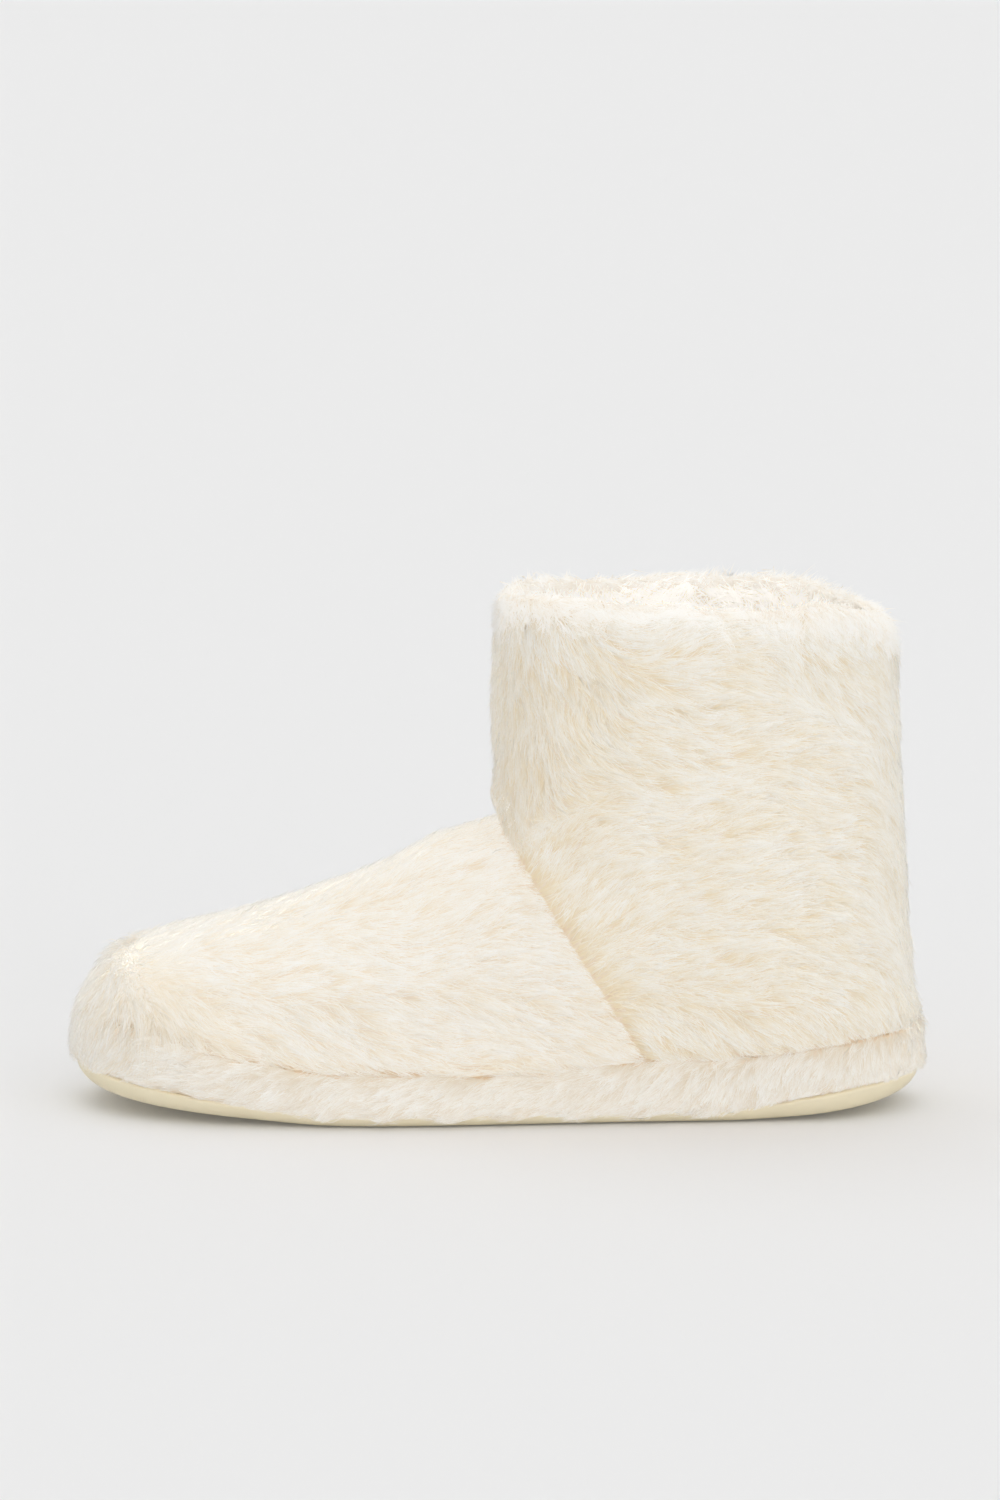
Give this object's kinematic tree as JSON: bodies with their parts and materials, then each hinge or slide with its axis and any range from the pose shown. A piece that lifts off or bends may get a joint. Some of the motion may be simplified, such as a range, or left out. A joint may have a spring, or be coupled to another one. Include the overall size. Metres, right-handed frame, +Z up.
{
  "type": "plush ankle boot slipper",
  "caption": "Left ankle-boot slipper in deep cream faux fur, with a fur-wrapped midsole and a smooth rubber outsole turned up at toe and heel.",
  "frame": {"origin": "middle of the box's bottom, on the floor under the sole", "axes": "+X towards the heel, -X towards the toe; -Y the outer side of the left foot; +Z up"},
  "size_m": [0.272, 0.1032, 0.1638],
  "materials": {
    "rubber": "smooth, satin",
    "fur_band": "short faux fur",
    "plush": "white plush pile",
    "fur": "deep combed faux fur"
  },
  "bodies": {
    "root": {"outsole": "rubber", "midsole_wrap": "fur_band", "insole": "plush", "upper": "fur"}
  },
  "joints": []
}
